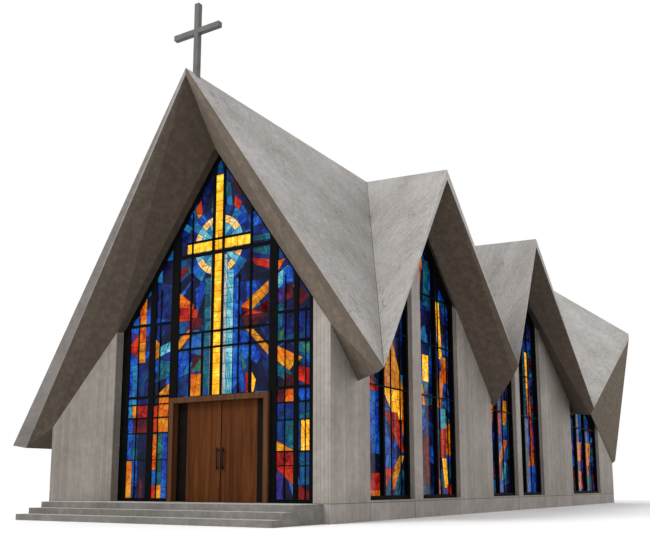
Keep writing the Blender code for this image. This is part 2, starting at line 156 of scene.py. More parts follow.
RIPPLE = 16.0  # ripples of 60 mm in the face of the glass
LEAD_PATCH = 20.0  # cement and dull patches of 50 mm
LEAD_GRAIN = 120.0  # milling of 8 mm
FLOOR_PATCH = 0.4  # faint patches 2.5 m across
HOLE_SHADE = "4a4642"  # the shade inside a blow hole

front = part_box("front_window_frame")
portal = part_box("door_portal")
DOOR_HEAD = portal[1][2]


def linear(code):
    """A screen colour such as '8f8884' as linear red, green and blue."""
    parts = [int(code[i : i + 2], 16) / 255 for i in (0, 2, 4)]
    return tuple(p / 12.92 if p <= 0.04045 else ((p + 0.055) / 1.055) ** 2.4 for p in parts) + (1.0,)


def wire(skin, node, inputs):
    """Sets each input of a node, or links it to the output that it is given."""
    for name, value in inputs.items():
        if isinstance(value, bpy.types.NodeSocket):
            skin.node_tree.links.new(value, node.inputs[name])
        else:
            node.inputs[name].default_value = value


def add(skin, kind, inputs=None, out=0, stops=(), **settings):
    """Adds a node with its settings and links, and gives back one of its outputs."""
    node = skin.node_tree.nodes.new(f"ShaderNode{kind}")
    for name, value in settings.items():
        setattr(node, name, value)
    wire(skin, node, inputs or {})
    if stops:
        bands = node.color_ramp.elements
        while len(bands) < len(stops):
            bands.new(0.5)
        for band, (place, code) in zip(bands, stops):
            band.position = place
            band.color = linear(code)
    return node.outputs[out]


def start(name, **plain):
    """A new material, and its place in metres. The plain values are the same all over it."""
    skin = bpy.data.materials.new(name)
    skin.use_nodes = True
    finish(skin, {key.replace("_", " "): value for key, value in plain.items()})
    return skin, add(skin, "TexCoord", out="Object")


def finish(skin, inputs):
    wire(skin, skin.node_tree.nodes["Principled BSDF"], inputs)
    return skin


def weigh(skin, *patterns):
    """The sum of some patterns, each times its weight."""
    total = None
    for pattern, weight in patterns:
        part = add(skin, "Math", {0: pattern, 1: weight}, operation="MULTIPLY")
        total = part if total is None else add(skin, "Math", {0: total, 1: part}, operation="ADD")
    return total


def stains_and_shade(skin, colour, *layers):
    """The colour with each stain and each painted shade laid over it as strongly as its pattern says."""
    for strength, layer in layers:
        layer = linear(layer) if isinstance(layer, str) else layer
        colour = add(skin, "Mix", {0: strength, 6: colour, 7: layer}, out=2, data_type="RGBA")
    return colour


def facing_up(skin):
    normal = add(skin, "NewGeometry", out="True Normal")
    return add(skin, "SeparateXYZ", {0: normal}, out=2)


def poured_concrete(skin, place, dark, middle, light):
    """Poured concrete: cement skin in drifting tones and mottling, with a sandy grain."""
    cloud = add(skin, "TexNoise", {"Vector": place, "Scale": CLOUD, "Detail": 5, "Roughness": 0.6})
    mottle = add(skin, "TexNoise", {"Vector": place, "Scale": MOTTLE, "Detail": 4, "Roughness": 0.65})
    sand = add(skin, "TexNoise", {"Vector": place, "Scale": SAND, "Detail": 3, "Roughness": 0.7})
    tone = weigh(skin, (cloud, 0.45), (mottle, 0.33), (sand, 0.22))
    colour = add(skin, "ValToRGB", {"Fac": tone}, stops=((0.36, dark), (0.5, middle), (0.64, light)))
    return colour, sand, mottle


def blow_holes(skin, place):
    """Small round holes that air left against the shutter."""
    away = add(skin, "TexVoronoi", {"Vector": place, "Scale": BLOW_HOLES})
    return add(skin, "MapRange", {"Value": away, "From Min": 0.10, "From Max": 0.06})


def roof_concrete(name, soffit_shade_dark, soffit_shade_middle, soffit_shade_light):
    # Smooth formwork on top, bleached and pitted by rain, with hair cracks. The soffit gets painted shade.
    skin, place = start(name, Roughness=0.9)
    colour, sand, mottle = poured_concrete(skin, place, "87837f", "9b9794", "afacaa")
    hole = blow_holes(skin, place)
    pit = add(skin, "TexNoise", {"Vector": place, "Scale": PITTING, "Detail": 6, "Roughness": 0.78})
    soiled = add(skin, "MapRange", {"Value": pit, "From Min": 0.55, "From Max": 0.66, "To Max": 0.55})
    bleached = add(skin, "MapRange", {"Value": pit, "From Min": 0.45, "From Max": 0.35, "To Max": 0.50})
    wander = add(
        skin,
        "TexNoise",
        {"Vector": place, "Scale": CRACKS, "Detail": 5, "Roughness": 0.55, "Distortion": 0.5},
    )
    beside = add(skin, "Math", {0: wander, 1: 0.47}, operation="SUBTRACT")
    beside = add(skin, "Math", {0: beside}, operation="ABSOLUTE")
    crack = add(skin, "MapRange", {"Value": beside, "From Min": 0.0032, "From Max": 0.0011})
    gaps = add(skin, "TexNoise", {"Vector": place, "Scale": CRACK_BREAKS, "Detail": 3, "Roughness": 0.55})
    broken = add(skin, "MapRange", {"Value": gaps, "From Min": 0.46, "From Max": 0.54})
    broken = add(skin, "Math", {0: broken, 1: 0.55}, operation="MULTIPLY")
    crack = add(skin, "Math", {0: crack, 1: broken}, operation="MULTIPLY")
    # Painted shade: faces that look down take dark brown soffit tones.
    shaded_below = add(skin, "MapRange", {"Value": facing_up(skin), "From Min": -0.05, "From Max": -0.10})
    stops = ((0.3, soffit_shade_dark), (0.5, soffit_shade_middle), (0.72, soffit_shade_light))
    under = add(skin, "ValToRGB", {"Fac": mottle}, stops=stops)
    colour = stains_and_shade(skin, colour, (soiled, "6c6864"), (bleached, "c4c2c0"), (crack, "5a5652"))
    # Painted shade darkens the inside of each blow hole.
    colour = stains_and_shade(skin, colour, (shaded_below, under), (weigh(skin, (hole, 0.5)), HOLE_SHADE))
    height = weigh(skin, (sand, 1.0), (pit, 1.6), (hole, -1.0))
    relief = add(skin, "Bump", {"Height": height, "Distance": 0.004, "Strength": 0.7})
    return finish(skin, {"Base Color": colour, "Normal": relief})


def cast_edge(name, dark, middle, light):
    # The slab's edge, struck smooth off the shutter: plain cement with sand and a few blow holes.
    skin, place = start(name, Roughness=0.9)
    colour, sand, _ = poured_concrete(skin, place, dark, middle, light)
    hole = blow_holes(skin, place)
    # Painted shade darkens the inside of each blow hole.
    colour = stains_and_shade(skin, colour, (weigh(skin, (hole, 0.5)), HOLE_SHADE))
    height = weigh(skin, (sand, 1.0), (hole, -1.0))
    relief = add(skin, "Bump", {"Height": height, "Distance": 0.003, "Strength": 0.6})
    return finish(skin, {"Base Color": colour, "Normal": relief})


def board_marked(name, dark, middle, light, board_shift):
    # Cast against rough sawn boards set upright: each board leaves its own tone, grain and fins.
    skin, place = start(name, Roughness=0.92)
    colour, sand, _ = poured_concrete(skin, place, dark, middle, light)
    x, y, z = add(skin, "SeparateXYZ", {0: place}).node.outputs
    along = add(skin, "Math", {0: x, 1: y}, operation="ADD")
    boards = add(skin, "Math", {0: along, 1: BOARD}, operation="DIVIDE")
    number = add(skin, "Math", {0: boards}, operation="FLOOR")
    own = add(skin, "TexWhiteNoise", {"W": number}, noise_dimensions="1D")
    grain = stretched_noise(skin, place, BOARD_GRAIN, 4, 0.65)
    share = add(skin, "Math", {0: boards}, operation="FRACT")
    share = add(skin, "Math", {0: share, 1: 0.5}, operation="SUBTRACT")
    share = add(skin, "Math", {0: share}, operation="ABSOLUTE")
    wide = BOARD_SEAM / BOARD
    seam = add(skin, "MapRange", {"Value": share, "From Min": 0.5 - wide, "From Max": 0.5 - 0.5 * wide})
    tone = weigh(skin, (own, board_shift), (grain, 0.5))
    limits = {"From Min": 0.15, "From Max": 0.60, "To Min": 0.80, "To Max": 1.12}
    shade = add(skin, "MapRange", {"Value": tone, **limits})
    grey = add(skin, "CombineColor", {0: shade, 1: shade, 2: shade})
    colour = add(skin, "Mix", {0: 1.0, 6: colour, 7: grey}, out=2, data_type="RGBA", blend_type="MULTIPLY")
    patches = add(skin, "TexNoise", {"Vector": place, "Scale": DAMP, "Detail": 4, "Roughness": 0.55})
    patches = add(skin, "MapRange", {"Value": patches, "From Min": 0.4, "From Max": 0.7})
    low = add(skin, "MapRange", {"Value": z, "From Min": 1.6, "From Max": 0.5})
    damp = add(skin, "Math", {0: low, 1: patches}, operation="MULTIPLY")
    colour = stains_and_shade(skin, colour, (weigh(skin, (seam, 0.35)), "5c5651"))
    colour = stains_and_shade(skin, colour, (weigh(skin, (damp, 0.35)), "6d6660"))
    height = weigh(skin, (grain, 1.5), (sand, 1.0), (seam, -1.5))
    relief = add(skin, "Bump", {"Height": height, "Distance": 0.004, "Strength": 0.8})
    return finish(skin, {"Base Color": colour, "Normal": relief})


def step_concrete():
    # Trowelled tops, paler than the cast risers.
    skin, place = start("step_concrete", Roughness=0.88)
    colour, sand, mottle = poured_concrete(skin, place, "56524e", "6b6763", "807c78")
    hole = blow_holes(skin, place)
    # Faces that look up take the paler tones.
    up = add(skin, "MapRange", {"Value": facing_up(skin), "From Min": 0.5, "From Max": 0.9})
    top_tone = add(skin, "ValToRGB", {"Fac": mottle}, stops=((0.3, "a19d99"), (0.7, "bab6b2")))
    height = weigh(skin, (sand, 1.0), (hole, -1.0))
    relief = add(skin, "Bump", {"Height": height, "Distance": 0.002, "Strength": 0.6})
    return finish(skin, {"Base Color": stains_and_shade(skin, colour, (up, top_tone)), "Normal": relief})


def stretched_noise(skin, place, stretch, detail, roughness, distortion=0.0):
    """Noise drawn out along the axes, in repeats to the metre."""
    place = add(skin, "Mapping", {"Vector": place, "Scale": stretch})
    inputs = {"Vector": place, "Scale": 1.0, "Detail": detail, "Roughness": roughness}
    return add(skin, "TexNoise", {**inputs, "Distortion": distortion})


def coated_steel(name, deep, pale, roughness, metallic, shine=0.5):
    # Rolled bar with a thin coat: faint orange peel and duller patches where it has weathered.
    skin, place = start(name, Metallic=metallic, Specular_IOR_Level=shine)
    patch = add(skin, "TexNoise", {"Vector": place, "Scale": COAT_PATCH, "Detail": 4, "Roughness": 0.55})
    colour = add(skin, "ValToRGB", {"Fac": patch}, stops=((0.35, deep), (0.7, pale)))
    limits = {"From Min": 0.3, "From Max": 0.7, "To Min": roughness - 0.08, "To Max": roughness + 0.12}
    dull = add(skin, "MapRange", {"Value": patch, **limits})
    peel = add(skin, "TexNoise", {"Vector": place, "Scale": COAT_PEEL, "Detail": 2, "Roughness": 0.55})
    relief = add(skin, "Bump", {"Height": peel, "Distance": 0.0004, "Strength": 0.5})
    return finish(skin, {"Base Color": colour, "Roughness": dull, "Normal": relief})


def timber(name, dark, middle, light, roughness):
    # Straight-grained boards stood upright and oiled: long fibres, darker pores, slow bands.
    skin, place = start(name, Specular_IOR_Level=0.08)
    fibre = stretched_noise(skin, place, FIBRE, 5, 0.7)
    band = stretched_noise(skin, place, TIMBER_BAND, 3, 0.5, 0.6)
    pore = stretched_noise(skin, place, PORE, 2, 0.5)
    tone = weigh(skin, (fibre, 0.5), (band, 0.5))
    colour = add(skin, "ValToRGB", {"Fac": tone}, stops=((0.36, dark), (0.5, middle), (0.64, light)))
    open_pore = add(skin, "MapRange", {"Value": pore, "From Min": 0.60, "From Max": 0.72, "To Max": 0.45})
    limits = {"From Min": 0.3, "From Max": 0.7, "To Min": roughness + 0.10, "To Max": roughness - 0.06}
    dull = add(skin, "MapRange", {"Value": fibre, **limits})
    height = weigh(skin, (fibre, 1.0), (pore, 0.5))
    relief = add(skin, "Bump", {"Height": height, "Distance": 0.0008, "Strength": 0.6})
    colour = stains_and_shade(skin, colour, (open_pore, "2a160b"))
    return finish(skin, {"Base Color": colour, "Roughness": dull, "Normal": relief})


def pot_glass(name, dark, middle, light, drift, painted_glow):
    # Mouth-blown coloured glass: a second colour drifts through the sheet, with streaks, seeds and a
    # rippled face, and a painted glow, an emission, stands in for daylight coming through it.
    plain = {"Roughness": 0.14, "IOR": 1.52, "Specular_IOR_Level": 0.12, "Emission_Strength": painted_glow}
    skin, place = start(name, **plain)
    streak = add(
        skin,
        "TexNoise",
        {"Vector": place, "Scale": STREAK, "Detail": 4, "Roughness": 0.62, "Distortion": 0.9},
    )
    seed = add(skin, "TexNoise", {"Vector": place, "Scale": SEEDS, "Detail": 3, "Roughness": 0.65})
    tone = weigh(skin, (streak, 0.7), (seed, 0.3))
    colour = add(skin, "ValToRGB", {"Fac": tone}, stops=((0.38, dark), (0.50, middle), (0.62, light)))
    stretch = add(skin, "Mapping", {"Vector": place, "Scale": DRIFT_STRETCH})
    cloud = add(
        skin,
        "TexNoise",
        {"Vector": stretch, "Scale": DRIFT, "Detail": 3, "Roughness": 0.6, "Distortion": 1.2},
    )
    cloud = add(skin, "MapRange", {"Value": cloud, "From Min": 0.50, "From Max": 0.66, "To Max": 0.75})
    colour = stains_and_shade(skin, colour, (cloud, drift))
    body = {0: 1.0, 6: colour, 7: linear("cccccc")}
    body = add(skin, "Mix", body, out=2, data_type="RGBA", blend_type="MULTIPLY")
    ripple = add(skin, "TexNoise", {"Vector": place, "Scale": RIPPLE, "Detail": 3, "Roughness": 0.55})
    relief = add(skin, "Bump", {"Height": ripple, "Distance": 0.002, "Strength": 0.5})
    # The emission is a painted glow standing in for light through the glass.
    return finish(skin, {"Base Color": body, "Emission Color": colour, "Normal": relief})


def lead():
    # Milled lead, grey and dull, with cement left along the edges.
    skin, place = start("lead_came", Roughness=0.6, Specular_IOR_Level=0.15)
    patch = add(skin, "TexNoise", {"Vector": place, "Scale": LEAD_PATCH, "Detail": 3, "Roughness": 0.55})
    colour = add(skin, "ValToRGB", {"Fac": patch}, stops=((0.35, "0a0a0b"), (0.7, "151517")))
    grain = add(skin, "TexNoise", {"Vector": place, "Scale": LEAD_GRAIN, "Detail": 2, "Roughness": 0.55})
    relief = add(skin, "Bump", {"Height": grain, "Distance": 0.0005, "Strength": 0.5})
    return finish(skin, {"Base Color": colour, "Normal": relief})


def pale_floor():
    # A plain studio floor, painted nearly white.
    skin, place = start("pale_floor", Roughness=0.9)
    patch = add(skin, "TexNoise", {"Vector": place, "Scale": FLOOR_PATCH, "Detail": 2, "Roughness": 0.55})
    colour = add(skin, "ValToRGB", {"Fac": patch}, stops=((0.3, "f4f4f4"), (0.7, "f6f6f6")))
    return finish(skin, {"Base Color": colour})


# Copies that differ in painted soffit shade: darkest on the left front plate, lit paler on the right.
ROOF_SHADED_LEFT = roof_concrete("weathered_roof_concrete_shaded_left", "382f26", "42382d", "4d4336")
ROOF_LIT_RIGHT = roof_concrete("weathered_roof_concrete_lit_right", "51473c", "5e5347", "6c6053")
ROOF = roof_concrete("weathered_roof_concrete", "4c4237", "594e42", "675b4d")
# Painted light: the front-left wall is darker as shade under the eaves, the flanks and piers paler.
WALL_SHADED = board_marked("board_marked_wall_concrete_shaded", "6e675f", "7e776f", "8e877f", 0.28)
FLANK_LIT = board_marked("board_marked_flank_concrete_lit", "7f7871", "918a83", "a19a93", 0.28)
PLINTH = board_marked("board_marked_plinth_concrete", "89827d", "9b9590", "aba5a0", 0.12)
# The right edge is painted in the right soffit's shade tones; the left edge is grey cast concrete.
EDGE_LEFT = cast_edge("cast_edge_concrete_left", "726d69", "847f7b", "96918d")
EDGE_SHADED_RIGHT = cast_edge("cast_edge_concrete_shaded_right", "51473c", "5e5347", "6c6053")
STEP = step_concrete()
STEEL = coated_steel("black_window_steel", "050506", "0b0b0c", 0.6, 0.0, 0.04)
PANEL = coated_steel("dark_door_panel", "0a0706", "120e0c", 0.6, 0.0, 0.06)
HANDLE = coated_steel("blackened_handle_steel", "1b1b1d", "303033", 0.34, 0.9)
CROSS = coated_steel("grey_cross_steel", "52504e", "676563", 0.65, 0.1, 0.3)
DOOR = timber("oiled_door_timber", "381a06", "4e280b", "613612", 0.62)
FRAME_TIMBER = timber("portal_timber", "3c2413", "50321d", "624026", 0.62)
LEAD = lead()
JOINT_AND_SHADOW_LINE = coated_steel("joint_mastic_and_shadow_line", "3a3734", "4a4643", 0.8, 0.0)

# The last number of each glass is its painted glow.
GLASS = {
    "navy": pot_glass("navy_glass", "030516", "060e2c", "0b1c4c", "1a1450", 0.16),
    "deep": pot_glass("deep_blue_glass", "030830", "071a60", "0e3694", "0a4a78", 0.19),
    "blue": pot_glass("bright_blue_glass", "051868", "0a3cb0", "2478d8", "0a6a9c", 0.25),
    "sky": pot_glass("sky_blue_glass", "084070", "1268a0", "3898c4", "2a60c8", 0.24),
    "teal": pot_glass("teal_glass", "052c3c", "0a5568", "237f8c", "0c3c90", 0.22),
    "cyan": pot_glass("pale_cyan_glass", "1f7890", "4aa2b6", "98d0d4", "2a90c8", 0.40),
    "pearl": pot_glass("pearl_glass", "72848e", "a4aeae", "d4ccbc", "7ab8c4", 0.38),
    "cream": pot_glass("cream_glass", "b87c3c", "dcae68", "f2dca4", "e8b048", 0.62),
    "gold": pot_glass("gold_glass", "b07004", "e2a014", "fcd04a", "e88a10", 0.95),
    "amber": pot_glass("amber_glass", "844204", "be7408", "e8a020", "d8560c", 0.46),
    "orange": pot_glass("orange_glass", "7c2002", "c04604", "ec7c10", "e0a018", 0.42),
    "red": pot_glass("red_glass", "540404", "9a100c", "d42c14", "c8480c", 0.40),
    "wine": pot_glass("wine_glass", "1e040d", "400a18", "6c1424", "8c1410", 0.20),
    "purple": pot_glass("purple_glass", "160e38", "382068", "64449a", "2a2c90", 0.22),
    "green": pot_glass("green_glass", "0a3028", "1c5844", "4a9468", "1a6a88", 0.24),
}
GLASS_ORDER = list(GLASS)


class Mesh:
    """Faces gathered into one piece, each with its own material number."""

    def __init__(self):
        self.points, self.faces, self.skins = [], [], []

    def face(self, corners, skin=0):
        start_at = len(self.points)
        self.points.extend(tuple(p) for p in corners)
        self.faces.append(tuple(range(start_at, start_at + len(corners))))
        self.skins.append(skin)

    def box(self, low, high):
        (a, b, c), (d, e, f) = low, high
        for side in (
            ((a, b, c), (a, e, c), (d, e, c), (d, b, c)),
            ((a, b, f), (d, b, f), (d, e, f), (a, e, f)),
            ((a, b, c), (d, b, c), (d, b, f), (a, b, f)),
            ((a, e, c), (a, e, f), (d, e, f), (d, e, c)),
            ((a, b, c), (a, b, f), (a, e, f), (a, e, c)),
            ((d, b, c), (d, e, c), (d, e, f), (d, b, f)),
        ):
            self.face(side)

    def prism(self, first, last):
        """A closed solid between two outlines of as many corners, the first facing back."""
        self.face(first[::-1])
        self.face(last)
        for i, corner in enumerate(first):
            j = (i + 1) % len(first)
            self.face((corner, first[j], last[j], last[i]))

    def rod(self, begin, end, thick):
        """A square rod between two points."""
        along = (end - begin).normalized()
        side = along.cross(Vector((0, 0, 1))).normalized() * thick / 2
        up = side.cross(along).normalized() * thick / 2
        ring = (side + up, up - side, -side - up, side - up)
        self.prism([begin + p for p in ring], [end + p for p in ring])

    def made(self, name, materials):
        mesh = bpy.data.meshes.new(name)
        mesh.from_pydata(self.points, [], self.faces)
        for material in materials:
            mesh.materials.append(material)
        mesh.polygons.foreach_set("material_index", self.skins)
        mesh.update()
        piece = bpy.data.objects.new(name, mesh)
        bpy.context.scene.collection.objects.link(piece)
        return piece

    def piece(self, name, materials, slot, body="building"):
        piece = self.made(name, materials)
        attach(piece, body)


def corners_of(node):
    return [v.co.copy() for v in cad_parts[node].data.vertices]


# Flat geometry of the leaded lights. A cell is a convex outline in (across, up) and a glass name.


def sides(outline):
    """Each corner of an outline with the next one round."""
    return zip(outline, outline[1:] + outline[:1])


def clip(outline, point, normal):
    """The part of a convex outline on the side of a line that its normal points away from."""
    kept = []
    for here, there in sides(outline):
        a = (here - point).dot(normal)
        b = (there - point).dot(normal)
        if a <= 0:
            kept.append(here)
        if a * b < 0:
            kept.append(here.lerp(there, a / (a - b)))
    kept = [p for i, p in enumerate(kept) if (p - kept[i - 1]).length > SHORTEST_SIDE]
    return kept if len(kept) >= 3 else []


def area(outline):
    return 0.5 * sum(p.x * q.y - q.x * p.y for p, q in sides(outline))


def outward(a, b):
    return Vector((b.y - a.y, a.x - b.x)).normalized()


def halves(outline, point, normal):
    parts = [clip(outline, point, normal), clip(outline, point, -normal)]
    return [part for part in parts if part and area(part) > LEAST_HALF]


def cut(cells, point, normal):
    """Splits the cells along a line."""
    return [(part, glass) for outline, glass in cells for part in halves(outline, point, normal)]


def within_shape(outline, shape):
    """The part of a convex outline inside a convex shape."""
    for a, b in sides(shape):
        if not outline:
            return []
        outline = clip(outline, a, outward(a, b))
    return outline


def paint(cells, shape, glass, region=None):
    """Sets a shape into the cells as one new cell, and cuts away what was there. No glass leaves a hole."""
    shape = [Vector(p) for p in shape]
    if area(shape) < 0:
        shape.reverse()
    made = []
    for outline, old in cells:
        inside = within_shape(outline, shape)
        if not inside or area(inside) < LEAST_OVERLAP:
            made.append((outline, old))
            continue
        rest = outline
        for a, b in sides(shape):
            normal = outward(a, b)
            off = clip(rest, a, -normal)
            if off and area(off) > LEAST_CELL:
                made.append((off, old))
            rest = clip(rest, a, normal)
            if not rest:
                break
    if glass:
        whole = within_shape(shape, region)
        if whole and area(whole) > LEAST_CELL:
            made.append((whole, glass))
    return made


def shatter(cells, rng, biggest, smaller, towards=None):
    """Breaks each cell down to the biggest area for its glass, by cuts that run roughly towards a point."""
    made, queue = [], list(cells)
    while queue:
        outline, glass = queue.pop()
        if area(outline) < smaller.get(glass, biggest):
            made.append((outline, glass))
            continue
        middle = sum(outline, Vector((0, 0))) / len(outline)
        low = Vector((min(p.x for p in outline), min(p.y for p in outline)))
        high = Vector((max(p.x for p in outline), max(p.y for p in outline)))
        wide, tall = high - low
        if towards is not None and rng.random() < RADIAL_CUTS:
            line = (middle - towards).normalized()
            normal = Vector((-line.y, line.x))
        else:
            tilt = rng.uniform(-SHARD_TILT, SHARD_TILT)
            normal = Vector((math.cos(tilt), math.sin(tilt)))
            if wide <= tall:
                normal = Vector((normal.y, normal.x))
        shift = rng.uniform(-SHARD_SHIFT, SHARD_SHIFT) * wide, rng.uniform(-SHARD_SHIFT, SHARD_SHIFT) * tall
        parts = halves(outline, middle + Vector(shift), normal)
        if len(parts) < 2:
            made.append((outline, glass))
        else:
            queue.extend((part, glass) for part in parts)
    return made


def inset(outline, by):
    """The outline drawn in on every side, or nothing where it is too small for that."""
    lines = [(a, outward(a, b)) for a, b in sides(outline)]
    made = []
    for (p, n), (q, m) in zip(lines[-1:] + lines[:-1], lines):
        across = n.x * m.y - n.y * m.x
        if abs(across) < 0.02:
            made.append(q - m * by)
            continue
        u, v = (p - n * by).dot(n), (q - m * by).dot(m)
        made.append(Vector(((u * m.y - v * n.y) / across, (v * n.x - u * m.x) / across)))
    for (a, b), (c, d) in zip(sides(outline), sides(made)):
        if (b - a).dot(d - c) <= 0:
            return None
    return made if area(made) > LEAST_PANE else None


def drawn_in(outline, by):
    """As inset, for an outline with edges shorter than the lead is wide: those edges drop out."""
    rest = outline
    for a, b in sides(outline):
        normal = outward(a, b)
        rest = clip(rest, a - normal * by, normal)
        if not rest:
            return None
    return rest if area(rest) > LEAST_NARROW_PANE else None


def turn(a, b, c):
    """Above 0 where a way through three points turns to the left."""
    return (b[0] - a[0]) * (c[1] - a[1]) - (b[1] - a[1]) * (c[0] - a[0])


def region_of(points):
    """The convex outline round flat points, drawn in to where the glass ends behind the frame."""
    points = sorted(set((round(p[0], 4), round(p[1], 4)) for p in points))
    chain = []
    for ordered in (points, points[::-1]):
        part = []
        for p in ordered:
            while len(part) > 1 and turn(part[-2], part[-1], p) <= 1e-4:
                part.pop()
            part.append(p)
        chain += part[:-1]
    return inset([Vector(p) for p in chain], REGION_INSET)


def lay_glass(name, cells, place):
    """Panes held in lead: place turns (across, up, depth) into a world point, depth going inwards."""
    panes, cames = Mesh(), Mesh()

    def ring(outline, depth):
        return [place(p.x, p.y, depth) for p in outline]

    for outline, glass in cells:
        inner = inset(outline, CAME_HALF)
        if inner is None:
            # A sliver: a flat strip of lead, with a narrow pane let into it where one fits
            cames.face(ring(outline, STRIP_DEPTH))
            inner = drawn_in(outline, CAME_HALF)
            if inner is None:
                continue
        else:
            crest, edge = ring(outline, 0.0), ring(inner, CAME_EDGE)
            foot = ring(inner, CAME_PROUD + PANE_THICK)
            for i in range(len(outline)):
                j = (i + 1) % len(outline)
                cames.face((crest[i], crest[j], edge[j], edge[i]))
                cames.face((edge[i], edge[j], foot[j], foot[i]))
        number = GLASS_ORDER.index(glass)
        panes.face(ring(inner, CAME_PROUD), number)
        panes.face(ring(inner[::-1], CAME_PROUD + PANE_THICK), number)
    panes.piece(f"{name}_panes", [GLASS[key] for key in GLASS_ORDER], "coloured_glass")
    cames.piece(f"{name}_cames", [LEAD], "black_steel")


def rectangle(left, low, right, high):
    return [(left, low), (right, low), (right, high), (left, high)]


def random_shards(cells, rng):
    names, weights = list(SHARDS), list(SHARDS.values())
    return [(outline, rng.choices(names, weights)[0]) for outline, _ in cells]


def stretches(begin, end, step):
    """The ends of each short stretch between two places, the last one cut off at the end."""
    count = int(math.ceil((end - begin) / step - 1e-6))
    return [(begin + i * step, min(end, begin + i * step + step)) for i in range(count)]


